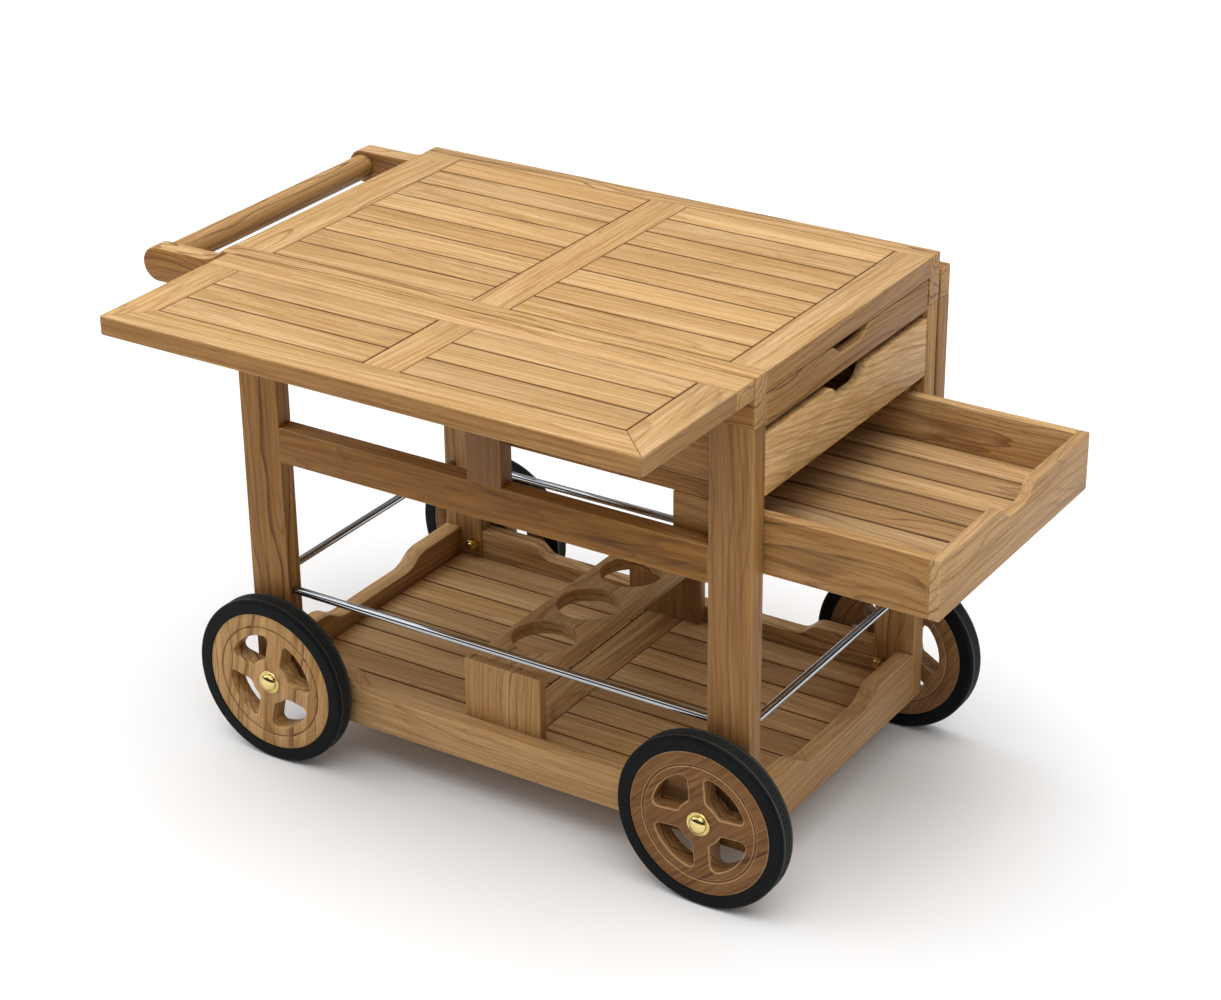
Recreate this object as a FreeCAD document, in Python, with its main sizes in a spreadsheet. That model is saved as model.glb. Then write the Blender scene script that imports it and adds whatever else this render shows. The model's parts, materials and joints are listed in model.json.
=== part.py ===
import FreeCAD, Part
import math
import os
from types import SimpleNamespace

import Sketcher

# A teak bar cart: a slatted deck with a drop leaf along each side, a drawer and two trays that pull out
# at the right, a shelf with a bottle rack, and four wooden wheels with rubber tyres.
# Millimetres. Pieces are set out from the middle of the deck (x, to the right), the outer face of the
# front side rail (y, to the rear) and the floor (z, up). Each sub-part's placement then moves it so that
# the origin lies on the floor, under the middle of the cart's box as it stands here: front leaf raised,
# rear leaf hanging and the lower tray pulled out.

SIZES = {
    # Deck, with deep side rails that run on at the left as the arms of the handle
    "deck_height": 786.5,
    "deck_width": 518.0,
    "right_overhang": 1.0,
    "left_overhang": 14.0,
    "rail_depth": 71.5,
    "rail_thick": 30.0,
    "end_rail_thick": 31.0,
    "end_rail_width": 54.0,
    "cross_rail_width": 59.5,
    "deck_slat_count": 8,
    # Slats, tongued at both ends into grooved rails
    "slat_thick": 15.0,
    "slat_gap": 2.6,
    "slat_end_gap": 1.5,
    "tongue_thick": 5.0,
    "tongue_length": 8.0,
    "groove_room": 1.0,
    # Handle
    "arm_length": 148.0,
    "arm_height": 52.0,
    "arm_sweep": 42.0,
    "handle_diameter": 38.0,
    "socket_depth": 15.0,
    "socket_clear": 0.1,
    # Legs, mid rails and posts
    "leg_reach": 424.0,
    "leg_width": 67.0,
    "leg_foot": 78.0,
    "mid_rail_drop": 18.0,
    "mid_rail_depth": 55.0,
    "post_width": 56.0,
    # Guard rods
    "rod_diameter": 12.0,
    "rod_height": 264.0,
    "rod_inset": 15.0,
    # Shelf, ringed by boards whose top edge dips in a wave between two shoulders
    "shelf_height": 111.0,
    "shelf_cross_width": 62.0,
    "shelf_cross_thick": 20.0,
    "shelf_slat_count": 8,
    "shelf_board_thick": 28.0,
    "shoulder_height": 78.0,
    "dip_height": 58.0,
    "side_shoulder": 92.0,
    "side_wave_run": 44.0,
    "end_shoulder": 93.0,
    "end_wave_run": 60.0,
    # Bottle rack
    "rack_top": 229.0,
    "rack_end_width": 128.0,
    "rack_end_thick": 18.0,
    "bottle_board_width": 118.0,
    "bottle_board_thick": 22.0,
    "bottle_hole": 96.0,
    "bottle_pitch": 119.0,
    # Wheels
    "axle_margin": 13.0,
    "tyre_diameter": 263.4,
    "tyre_width": 32.0,
    "tyre_shoulder": 6.0,
    "tread_groove_count": 4,
    "tread_groove_width": 2.0,
    "tread_groove_depth": 1.6,
    "disc_diameter": 220.6,
    "disc_thick": 30.0,
    "ring_groove_diameter": 178.0,
    "ring_groove_width": 3.0,
    "ring_groove_depth": 1.5,
    "spoke_width": 27.0,
    "window_inner_radius": 35.0,
    "window_outer_radius": 75.0,
    "window_corner": 8.0,
    # Axle bolts and what is on them
    "axle_diameter": 12.0,
    "running_clear": 0.05,
    "wheel_play": 0.3,
    "spacer_length": 12.2,
    "spacer_diameter": 24.0,
    "hub_washer_diameter": 36.0,
    "hub_washer_thick": 1.5,
    "bolt_head_diameter": 27.0,
    "bolt_head_height": 8.0,
    "nut_across_flats": 18.0,
    "nut_length": 13.0,
    "bolt_tail": 4.0,
    # Leaves, measured outwards from the side rail's face
    "leaf_width": 270.0,
    "leaf_thick": 28.4,
    "leaf_gap": 1.0,
    "leaf_inner_rail": 46.0,
    "leaf_outer_rail": 55.0,
    "leaf_end_rail": 56.0,
    "leaf_cross_rail": 57.5,
    "leaf_slat_count": 3,
    # Hinges
    "hinge_inset": 125.0,
    "hinge_length": 60.0,
    "hinge_plate_width": 27.0,
    "hinge_plate_thick": 1.6,
    "hinge_offset": 3.0,
    "knuckle_diameter": 5.2,
    "knuckle_gap": 0.4,
    "hinge_pin_diameter": 2.4,
    # Drawer, trays and their runners
    "tray_length": 394.0,
    "tray_wall": 16.0,
    "tray_side_clear": 1.5,
    "tray_height": 87.0,
    "tray_floor_height": 20.0,
    "tray_slat_thick": 14.0,
    "tray_slat_count": 8,
    "scoop_width": 120.0,
    "scoop_run": 40.0,
    "scoop_depth": 22.0,
    "tray_top_clear": 1.7,
    "lower_tray_pull": 254.0,
    "drawer_top_clear": 2.0,
    "drawer_height": 45.0,
    "drawer_floor_height": 14.0,
    "drawer_floor_thick": 8.0,
    "drawer_scoop_depth": 17.0,
    "runner_width": 22.0,
    "runner_setback": 20.0,
    "runner_clear": 0.3,
    "tray_runner_height": 24.5,
    "drawer_runner_height": 11.0,
}

# A cut runs this far past the faces that it goes through.
PAST_FACE = 1.0
# A wheel has one window in each quarter between its four spokes, and a hinge has three knuckles.
WINDOW_COUNT = 4
KNUCKLE_COUNT = 3
# How far each wheel has rolled round its axle, in degrees.
WHEEL_TURN = {"front_left": -12, "front_right": 5, "rear_left": 38, "rear_right": 30}
# The way an arc turns in an outline that is followed anticlockwise.
LEFT = 1
RIGHT = -1

doc = FreeCAD.newDocument("bar_cart")
sheet = doc.addObject("Spreadsheet::Sheet", "sizes")
for row, (name, number) in enumerate(SIZES.items(), start=1):
    sheet.set(f"A{row}", name)
    sheet.set(f"B{row}", str(number))
    sheet.setAlias(f"B{row}", name)
doc.recompute()


class Size:
    """A length worked out from the sheet's cells, kept both as a number and as a formula."""

    def __init__(self, number, formula):
        self.number = float(number)
        self.formula = formula

    def __add__(self, other):
        other = as_size(other)
        return Size(self.number + other.number, f"({self.formula} + {other.formula})")

    def __sub__(self, other):
        other = as_size(other)
        return Size(self.number - other.number, f"({self.formula} - {other.formula})")

    def __mul__(self, other):
        other = as_size(other)
        return Size(self.number * other.number, f"({self.formula} * {other.formula})")

    def __truediv__(self, other):
        other = as_size(other)
        return Size(self.number / other.number, f"({self.formula} / {other.formula})")

    def __neg__(self):
        return Size(-self.number, f"(0 - {self.formula})")

    def count(self):
        return round(self.number)


def as_size(length):
    return length if isinstance(length, Size) else Size(length, str(float(length)))


def root(size):
    return Size(math.sqrt(size.number), f"sqrt({size.formula})")


def bind(piece, path, length):
    piece.setExpression(path, as_size(length).formula)


def set_out(piece, x, y, z):
    """Tie a piece's own zero to a point."""
    bind(piece, "Placement.Base.x", x)
    bind(piece, "Placement.Base.y", y)
    bind(piece, "Placement.Base.z", z)


# Each size by its name, and the places that several pieces share
cart = SimpleNamespace(**{name: Size(number, f"sizes.{name}") for name, number in SIZES.items()})
rail_bottom = cart.deck_height - cart.rail_depth
rear_face = cart.deck_width - cart.rail_thick
leg_inner = cart.leg_reach - cart.leg_width
deck_right = cart.leg_reach + cart.right_overhang
deck_left = cart.leg_reach + cart.left_overhang
panel_reach = deck_right - cart.end_rail_width
drawer_bottom = cart.deck_height - cart.end_rail_thick - cart.drawer_top_clear - cart.drawer_height
mid_tray_top = drawer_bottom - cart.runner_clear - cart.drawer_runner_height - cart.tray_top_clear
mid_tray_bottom = mid_tray_top - cart.tray_height
lower_tray_top = mid_tray_bottom - cart.runner_clear - cart.tray_runner_height - cart.tray_top_clear
lower_tray_bottom = lower_tray_top - cart.tray_height
mid_rail_bottom = lower_tray_bottom - cart.mid_rail_drop
wheel_reach = leg_inner + cart.axle_margin
leaf_bottom = cart.deck_height - cart.leaf_thick
axle_height = cart.tyre_diameter / 2
wheel_inner = cart.spacer_length + cart.wheel_play
washer_inner = wheel_inner + cart.disc_thick + cart.wheel_play
head_base = washer_inner + cart.hub_washer_thick
hub_reach = head_base + cart.bolt_head_height
handle_end = deck_left + cart.arm_length
origin_x = (cart.leg_reach + cart.lower_tray_pull - handle_end) / 2
origin_y = (cart.deck_width + hub_reach - cart.leaf_width) / 2

# How a sub-part is seated: a turn about the origin, then a move
X_AXIS = FreeCAD.Vector(1, 0, 0)
Y_AXIS = FreeCAD.Vector(0, 1, 0)
Z_AXIS = FreeCAD.Vector(0, 0, 1)
NO_TURN = FreeCAD.Rotation()
ON_CART = (NO_TURN, -origin_x, -origin_y, as_size(0))
FRONT_RAISED = (FreeCAD.Rotation(Z_AXIS, 180), -origin_x, -origin_y, leaf_bottom)
REAR_RAISED = (NO_TURN, -origin_x, cart.deck_width - origin_y, leaf_bottom)
REAR_HANGING = (
    FreeCAD.Rotation(X_AXIS, -90),
    -origin_x,
    cart.deck_width + cart.hinge_offset * 2 - origin_y,
    leaf_bottom,
)
ALONG = {
    "x": FreeCAD.Rotation(Y_AXIS, 90),
    "y": FreeCAD.Rotation(X_AXIS, -90),
    "back along y": FreeCAD.Rotation(X_AXIS, 90),
    "z": NO_TURN,
}
subparts = []


def subpart(label, pieces, seat):
    """One named sub-part of the cart: its solids, seated together."""
    turn, x, y, z = seat
    group = doc.addObject("Part::Compound", label)
    group.Label = label
    group.Links = pieces
    group.Placement = FreeCAD.Placement(FreeCAD.Vector(), turn)
    set_out(group, x, y, z)
    subparts.append(group)


def board(x, y, z):
    """A square-edged piece between a low and a high plane each way."""
    box = doc.addObject("Part::Box", "board")
    for side, (low, high) in (("Length", x), ("Width", y), ("Height", z)):
        bind(box, side, as_size(high) - low)
    set_out(box, x[0], y[0], z[0])
    return box


def rod(along, diameter, length, x, y, z):
    """A round piece that starts at a point and runs along an axis."""
    cylinder = doc.addObject("Part::Cylinder", "rod")
    cylinder.Placement = FreeCAD.Placement(FreeCAD.Vector(), ALONG[along])
    bind(cylinder, "Radius", as_size(diameter) / 2)
    bind(cylinder, "Height", length)
    set_out(cylinder, x, y, z)
    return cylinder


def fuse(*pieces):
    joined = doc.addObject("Part::MultiFuse", "joined")
    joined.Shapes = list(pieces)
    return joined


def cut(base, *tools):
    """A piece with tools taken out of it."""
    taken = doc.addObject("Part::Compound", "taken")
    taken.Links = list(tools)
    trimmed = doc.addObject("Part::Cut", "trimmed")
    trimmed.Base = base
    trimmed.Tool = taken
    return trimmed


def arc_edge(start, end, radius, turn):
    """An arc of less than a half circle, and which of its ends comes first on the way along it."""
    chord = end - start
    left = FreeCAD.Vector(-chord.y, chord.x, 0).normalize()
    rise = math.sqrt(max(radius ** 2 - (chord.Length / 2) ** 2, 0))
    centre = (start + end) * 0.5 + left * (turn * rise)
    first, last = (start, end) if turn == LEFT else (end, start)
    angles = [math.atan2(point.y - centre.y, point.x - centre.x) for point in (first, last)]
    arc = Part.ArcOfCircle(Part.Circle(centre, Z_AXIS, radius), *angles)
    return arc, (1, 2) if turn == LEFT else (2, 1)


def sketch_outline(body, plane, corners):
    """A closed sketch through corners (across, up), or (across, up, radius, turn) at the end of an arc."""
    sketch = body.newObject("Sketcher::SketchObject", "outline")
    support = [feature for feature in body.Origin.OriginFeatures if feature.Role == plane][0]
    sketch.AttachmentSupport = (support, [""])
    sketch.MapMode = "FlatFace"
    corners = [tuple(as_size(value) for value in corner[:3]) + corner[3:] for corner in corners]
    points = [FreeCAD.Vector(corner[0].number, corner[1].number, 0) for corner in corners]
    ends = []
    for number, corner in enumerate(corners):
        start, end = points[number - 1], points[number]
        edge, order = Part.LineSegment(start, end), (1, 2)
        if len(corner) > 2:
            edge, order = arc_edge(start, end, corner[2].number, corner[3])
        sketch.addGeometry(edge)
        ends.append(order)
    for number, corner in enumerate(corners):
        follower = (number + 1) % len(corners)
        sketch.addConstraint(
            Sketcher.Constraint("Coincident", number, ends[number][1], follower, ends[follower][0])
        )
        for way, length in (("DistanceX", corner[0]), ("DistanceY", corner[1])):
            tie = Sketcher.Constraint(way, -1, 1, number, ends[number][1], length.number)
            bind(sketch, f"Constraints[{sketch.addConstraint(tie)}]", length)
        if len(corner) > 2:
            tie = Sketcher.Constraint("Radius", number, corner[2].number)
            bind(sketch, f"Constraints[{sketch.addConstraint(tie)}]", corner[2])
    return sketch


def sawn(plane, corners, thickness, x, y, z):
    """A board sawn to an outline, which lies on its low face."""
    body = doc.addObject("PartDesign::Body", "sawn")
    pad = body.newObject("PartDesign::Pad", "thickness")
    pad.Profile = sketch_outline(body, plane, corners)
    pad.Reversed = plane == "XZ_Plane"
    bind(pad, "Length", thickness)
    set_out(body, x, y, z)
    return body


def turned(corners):
    """A body of revolution about its own z, from half its section."""
    body = doc.addObject("PartDesign::Body", "turned")
    revolution = body.newObject("PartDesign::Revolution", "turning")
    sketch = sketch_outline(body, "XZ_Plane", corners)
    revolution.Profile = sketch
    revolution.ReferenceAxis = (sketch, ["V_Axis"])
    revolution.Angle = 360
    return body


def wavy_outline(length, high, low, shoulder, run):
    """A board's face with its top edge lowered in the middle, down and up again in S-curves."""
    length, high, low = as_size(length), as_size(high), as_size(low)
    drop = high - low
    middle = (high + low) / 2
    radius = (run * run + drop * drop) / (drop * 4)
    return [
        (0, 0),
        (length, 0),
        (length, high),
        (length - shoulder, high),
        (length - shoulder - run / 2, middle, radius, LEFT),
        (length - shoulder - run, low, radius, RIGHT),
        (shoulder + run, low),
        (shoulder + run / 2, middle, radius, RIGHT),
        (shoulder, high, radius, LEFT),
        (0, high),
    ]


def tongue_heights(top, thick):
    middle = top - thick / 2
    return middle - cart.tongue_thick / 2, middle + cart.tongue_thick / 2


def groove(edge, into, y, top, thick):
    """The groove in a rail's edge that takes the tongues of a row of slats."""
    depth = cart.tongue_length + cart.groove_room
    edge = as_size(edge)
    x = (edge, edge + depth) if into == "right" else (edge - depth, edge)
    return board(x, y, tongue_heights(top, thick))


def slats(x, y, top, thick, count):
    """A row of slats along x that fills a panel, with a gap round each and a tongue at each end."""
    left, right = as_size(x[0]), as_size(x[1])
    pitch = (as_size(y[1]) - y[0]) / count
    row = []
    for number in range(count.count()):
        low = pitch * number + y[0] + cart.slat_gap / 2
        width = (low, low + pitch - cart.slat_gap)
        strip = board((left + cart.slat_end_gap, right - cart.slat_end_gap), width, (top - thick, top))
        reach = (left - cart.tongue_length, right + cart.tongue_length)
        row.append(fuse(strip, board(reach, width, tongue_heights(top, thick))))
    return row


def mirrored_x(x, sign):
    """The same stretch of x at the right (1) or at the left (-1)."""
    low, high = as_size(x[0]), as_size(x[1])
    return (low, high) if sign > 0 else (-high, -low)


def make_side_rails():
    length = handle_end + deck_right
    nose = cart.arm_height / 2
    drop = cart.rail_depth - cart.arm_height
    sweep_radius = (cart.arm_sweep * cart.arm_sweep + drop * drop) / (drop * 2)
    outline = [
        (nose, 0, nose, LEFT),
        (length, 0),
        (length, cart.rail_depth),
        (cart.arm_length, cart.rail_depth),
        (cart.arm_length - cart.arm_sweep, cart.arm_height, sweep_radius, RIGHT),
        (nose, cart.arm_height),
        (0, nose, nose, LEFT),
    ]
    bar_x, bar_z = nose - handle_end, rail_bottom + nose
    bar_start = cart.rail_thick - cart.socket_depth
    bar_length = rear_face + cart.socket_depth - bar_start
    for label, y in (("front_side_rail", as_size(0)), ("rear_side_rail", rear_face)):
        socket_diameter = cart.handle_diameter + cart.socket_clear * 2
        socket = rod("y", socket_diameter, bar_length, bar_x, bar_start, bar_z)
        rail = sawn("XZ_Plane", outline, cart.rail_thick, -handle_end, y, rail_bottom)
        subpart(label, [cut(rail, socket)], ON_CART)
    bar = rod("y", cart.handle_diameter, bar_length, bar_x, bar_start, bar_z)
    subpart("handle_bar", [bar], ON_CART)


def make_deck():
    y = (cart.rail_thick, rear_face)
    z = (cart.deck_height - cart.end_rail_thick, cart.deck_height)
    top, thick = cart.deck_height, cart.slat_thick
    half_cross = cart.cross_rail_width / 2
    left_rail = cut(
        board((-deck_left, -panel_reach), y, z),
        groove(-panel_reach, "left", y, top, thick),
    )
    right_rail = cut(
        board((panel_reach, deck_right), y, z),
        groove(panel_reach, "right", y, top, thick),
    )
    cross_rail = cut(
        board((-half_cross, half_cross), y, z),
        groove(-half_cross, "right", y, top, thick),
        groove(half_cross, "left", y, top, thick),
    )
    subpart("deck_end_rails", [left_rail, right_rail], ON_CART)
    subpart("deck_cross_rail", [cross_rail], ON_CART)
    row = []
    for sign in (-1, 1):
        row += slats(mirrored_x((half_cross, panel_reach), sign), y, top, thick, cart.deck_slat_count)
    subpart("deck_slats", row, ON_CART)


def make_legs():
    rod_room = cart.rod_diameter + cart.socket_clear * 2
    bolt_room = cart.axle_diameter + cart.running_clear * 2
    z = (cart.leg_foot, rail_bottom)
    for side, face in (("front", as_size(0)), ("rear", rear_face)):
        front = side == "front"
        rod_y = cart.rod_inset if front else cart.deck_width - cart.rod_inset
        socket_y = cart.rail_thick - cart.socket_depth if front else rear_face
        for end, sign in (("left", -1), ("right", 1)):
            side_socket = mirrored_x((leg_inner, leg_inner + cart.socket_depth), sign)
            leg = board(mirrored_x((leg_inner, cart.leg_reach), sign), (face, face + cart.rail_thick), z)
            holes = [
                rod("x", rod_room, cart.socket_depth, side_socket[0], rod_y, cart.rod_height),
                rod(
                    "y",
                    rod_room,
                    cart.socket_depth,
                    (cart.leg_reach - cart.rod_inset) * sign,
                    socket_y,
                    cart.rod_height,
                ),
                rod(
                    "y",
                    bolt_room,
                    cart.rail_thick + PAST_FACE * 2,
                    wheel_reach * sign,
                    face - PAST_FACE,
                    axle_height,
                ),
            ]
            subpart(f"{side}_{end}_leg", [cut(leg, *holes)], ON_CART)


def make_mid_frame():
    rail_top = mid_rail_bottom + cart.mid_rail_depth
    half_post = cart.post_width / 2
    rails, posts = [], []
    for face in (as_size(0), rear_face):
        y = (face, face + cart.rail_thick)
        rails.append(board((-leg_inner, leg_inner), y, (mid_rail_bottom, rail_top)))
        posts.append(board((-half_post, half_post), y, (rail_top, rail_bottom)))
    subpart("mid_rails", rails, ON_CART)
    subpart("mid_posts", posts, ON_CART)


def make_guard_rods():
    start = leg_inner + cart.socket_depth
    side_rods = [
        rod("x", cart.rod_diameter, start * 2, -start, y, cart.rod_height)
        for y in (cart.rod_inset, cart.deck_width - cart.rod_inset)
    ]
    first = cart.rail_thick - cart.socket_depth
    reach = cart.leg_reach - cart.rod_inset
    end_rods = [
        rod("y", cart.rod_diameter, cart.deck_width - first * 2, reach * sign, first, cart.rod_height)
        for sign in (-1, 1)
    ]
    subpart("side_rods", side_rods, ON_CART)
    subpart("end_rods", end_rods, ON_CART)


def make_shelf():
    top, thick = cart.shelf_height, cart.slat_thick
    between_legs = (cart.rail_thick, rear_face)
    board_inner = cart.leg_reach - cart.shelf_board_thick
    side_outline = wavy_outline(
        leg_inner * 2, cart.shoulder_height, cart.dip_height, cart.side_shoulder, cart.side_wave_run
    )
    end_outline = wavy_outline(
        rear_face - cart.rail_thick,
        cart.shoulder_height,
        cart.dip_height,
        cart.end_shoulder,
        cart.end_wave_run,
    )
    side_boards = [
        sawn("XZ_Plane", side_outline, cart.shelf_board_thick, -leg_inner, y, cart.leg_foot)
        for y in (as_size(0), cart.deck_width - cart.shelf_board_thick)
    ]
    end_boards = []
    for x, inner, into in (
        (-cart.leg_reach, -board_inner, "left"),
        (board_inner, board_inner, "right"),
    ):
        end = sawn("YZ_Plane", end_outline, cart.shelf_board_thick, x, cart.rail_thick, cart.leg_foot)
        end_boards.append(cut(end, groove(inner, into, between_legs, top, thick)))
    subpart("shelf_side_boards", side_boards, ON_CART)
    subpart("shelf_end_boards", end_boards, ON_CART)
    half_cross = cart.shelf_cross_width / 2
    cross_board = cut(
        board(
            (-half_cross, half_cross),
            (cart.shelf_board_thick, cart.deck_width - cart.shelf_board_thick),
            (top - cart.shelf_cross_thick, top),
        ),
        groove(-half_cross, "right", between_legs, top, thick),
        groove(half_cross, "left", between_legs, top, thick),
    )
    subpart("shelf_cross_board", [cross_board], ON_CART)
    row = []
    for sign in (-1, 1):
        panel = mirrored_x((half_cross, board_inner), sign)
        row += slats(panel, between_legs, top, thick, cart.shelf_slat_count)
    subpart("shelf_slats", row, ON_CART)


def make_bottle_rack():
    half_end = cart.rack_end_width / 2
    half_board = cart.bottle_board_width / 2
    front_inner = cart.shelf_board_thick + cart.rack_end_thick
    rear_inner = cart.deck_width - front_inner
    ends = [
        board((-half_end, half_end), y, (cart.shelf_height, cart.rack_top))
        for y in (
            (cart.shelf_board_thick, front_inner),
            (rear_inner, cart.deck_width - cart.shelf_board_thick),
        )
    ]
    subpart("rack_ends", ends, ON_CART)
    low = cart.rack_top - cart.bottle_board_thick
    holes = [
        rod(
            "z",
            cart.bottle_hole,
            cart.bottle_board_thick + PAST_FACE * 2,
            0,
            cart.deck_width / 2 + cart.bottle_pitch * place,
            low - PAST_FACE,
        )
        for place in (-1, 0, 1)
    ]
    holed = cut(board((-half_board, half_board), (front_inner, rear_inner), (low, cart.rack_top)), *holes)
    subpart("bottle_board", [holed], ON_CART)


def disc_section():
    """Half the section of a wooden wheel, with a ring groove turned in each face."""
    bore = cart.axle_diameter / 2 + cart.running_clear
    rim = cart.disc_diameter / 2
    face = cart.disc_thick
    ring_inner = (cart.ring_groove_diameter - cart.ring_groove_width) / 2
    ring_outer = ring_inner + cart.ring_groove_width
    ring_depth = cart.ring_groove_depth
    return [
        (bore, 0),
        (ring_inner, 0),
        (ring_inner, ring_depth),
        (ring_outer, ring_depth),
        (ring_outer, 0),
        (rim, 0),
        (rim, face),
        (ring_outer, face),
        (ring_outer, face - ring_depth),
        (ring_inner, face - ring_depth),
        (ring_inner, face),
        (bore, face),
    ]


def window_outline():
    """A window in one quarter of the wheel: two spokes' edges, two arcs and rounded corners."""
    inner, outer, corner = cart.window_inner_radius, cart.window_outer_radius, cart.window_corner
    spoke = cart.spoke_width / 2
    off_spoke = spoke + corner
    near = root((inner + corner) * (inner + corner) - off_spoke * off_spoke)
    far = root((outer - corner) * (outer - corner) - off_spoke * off_spoke)
    on_inner = inner / (inner + corner)
    on_outer = outer / (outer - corner)
    return [
        (near, spoke, corner, LEFT),
        (far, spoke),
        (far * on_outer, off_spoke * on_outer, corner, LEFT),
        (off_spoke * on_outer, far * on_outer, outer, LEFT),
        (spoke, far, corner, LEFT),
        (spoke, near),
        (off_spoke * on_inner, near * on_inner, corner, LEFT),
        (near * on_inner, off_spoke * on_inner, inner, RIGHT),
    ]


def tyre_section():
    """Half the section of a tyre: rounded shoulders and grooves round the tread."""
    seat, tread = cart.disc_diameter / 2, cart.tyre_diameter / 2
    shoulder, width = cart.tyre_shoulder, cart.tyre_width
    corners = [(seat, 0), (tread - shoulder, 0), (tread, shoulder, shoulder, LEFT)]
    rib = (width - shoulder * 2) / (cart.tread_groove_count + 1)
    floor = tread - cart.tread_groove_depth
    for number in range(cart.tread_groove_count.count()):
        low = shoulder + rib * (number + 1) - cart.tread_groove_width / 2
        high = low + cart.tread_groove_width
        corners += [(tread, low), (floor, low), (floor, high), (tread, high)]
    return corners + [(tread, width - shoulder), (tread - shoulder, width, shoulder, LEFT), (seat, width)]


def make_wheel_disc():
    body = turned(disc_section())
    window = body.newObject("PartDesign::Pocket", "window")
    sketch = sketch_outline(body, "XY_Plane", window_outline())
    window.Profile = sketch
    window.Reversed = True
    bind(window, "Length", cart.disc_thick + PAST_FACE)
    windows = body.newObject("PartDesign::PolarPattern", "windows")
    windows.Originals = [window]
    windows.Axis = (sketch, ["N_Axis"])
    windows.Angle = 360
    windows.Occurrences = WINDOW_COUNT
    body.Tip = windows
    return body


def bolt_head(outwards, x, y, z):
    """The dome of an axle bolt: the top of a ball, cut off flat."""
    height, half = cart.bolt_head_height, cart.bolt_head_diameter / 2
    radius = (half * half + height * height) / (height * 2)
    sunk = radius - height
    dome = doc.addObject("Part::Sphere", "dome")
    dome.Placement = FreeCAD.Placement(FreeCAD.Vector(), ALONG[outwards])
    bind(dome, "Radius", radius)
    dome.setExpression("Angle1", f"asin({(sunk / radius).formula})")
    set_out(dome, x, y + sunk * (1 if outwards == "back along y" else -1), z)
    return dome


def nut(outwards, x, y, z):
    prism = doc.addObject("Part::Prism", "nut")
    prism.Placement = FreeCAD.Placement(FreeCAD.Vector(), ALONG[outwards])
    prism.Polygon = 6
    bind(prism, "Circumradius", cart.nut_across_flats / math.sqrt(3))
    bind(prism, "Height", cart.nut_length)
    set_out(prism, x, y, z)
    return prism


def make_wheels():
    """The wheels, each on a bolt through a leg. A reach is measured outwards from the leg's face."""
    bore = cart.axle_diameter + cart.running_clear * 2
    tail = cart.rail_thick + cart.nut_length + cart.bolt_tail
    tyre_inner = wheel_inner - (cart.tyre_width - cart.disc_thick) / 2
    bolts, washers, spacers, nuts = [], [], [], []
    for side, face, sign in (("front", as_size(0), -1), ("rear", cart.deck_width, 1)):
        outwards = "y" if side == "rear" else "back along y"

        def ring(outer, reach, length, x):
            y = face + reach * sign
            hole = rod(outwards, bore, length, x, y, axle_height)
            return cut(rod(outwards, outer, length, x, y, axle_height), hole)

        for end, way in (("left", -1), ("right", 1)):
            x = wheel_reach * way
            shank_length = tail + head_base
            shank = rod(outwards, cart.axle_diameter, shank_length, x, face - tail * sign, axle_height)
            bolts.append(fuse(shank, bolt_head(outwards, x, face + head_base * sign, axle_height)))
            washers.append(ring(cart.hub_washer_diameter, washer_inner, cart.hub_washer_thick, x))
            spacers.append(ring(cart.spacer_diameter, as_size(0), cart.spacer_length, x))
            nut_y = face - (cart.rail_thick + cart.nut_length) * sign
            nut_hole = rod(outwards, bore, cart.nut_length, x, nut_y, axle_height)
            nuts.append(cut(nut(outwards, x, nut_y, axle_height), nut_hole))
            wheel = {
                "disc": (make_wheel_disc(), wheel_inner),
                "tyre": (turned(tyre_section()), tyre_inner),
            }
            rolled = FreeCAD.Rotation(Z_AXIS, WHEEL_TURN[f"{side}_{end}"])
            for name, (body, reach) in wheel.items():
                body.Placement = FreeCAD.Placement(FreeCAD.Vector(), ALONG[outwards].multiply(rolled))
                set_out(body, x, face + reach * sign, axle_height)
                subpart(f"{side}_{end}_wheel_{name}", [body], ON_CART)
    subpart("axle_bolts", bolts, ON_CART)
    subpart("hub_washers", washers, ON_CART)
    subpart("axle_spacers", spacers, ON_CART)
    subpart("axle_nuts", nuts, ON_CART)


def hinge_half(x, plate, web, knuckles):
    """A hinge's plate with its knuckles, in a leaf's own axes: x, outwards (y) and up (z)."""
    offset, length = cart.hinge_offset, cart.hinge_length
    knuckle_length = length / KNUCKLE_COUNT
    start = as_size(x) - length / 2
    pieces = [board((start, start + length), *plate)]
    for number in knuckles:
        low = start + knuckle_length * number + cart.knuckle_gap / 2
        run = knuckle_length - cart.knuckle_gap
        pieces.append(board((low, low + run), *web))
        pieces.append(rod("x", cart.knuckle_diameter, run, low, offset, -offset))
    bore = cart.hinge_pin_diameter + cart.running_clear * 2
    hole = rod("x", bore, length + PAST_FACE * 2, start - PAST_FACE, offset, -offset)
    return cut(fuse(*pieces), hole)


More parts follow.
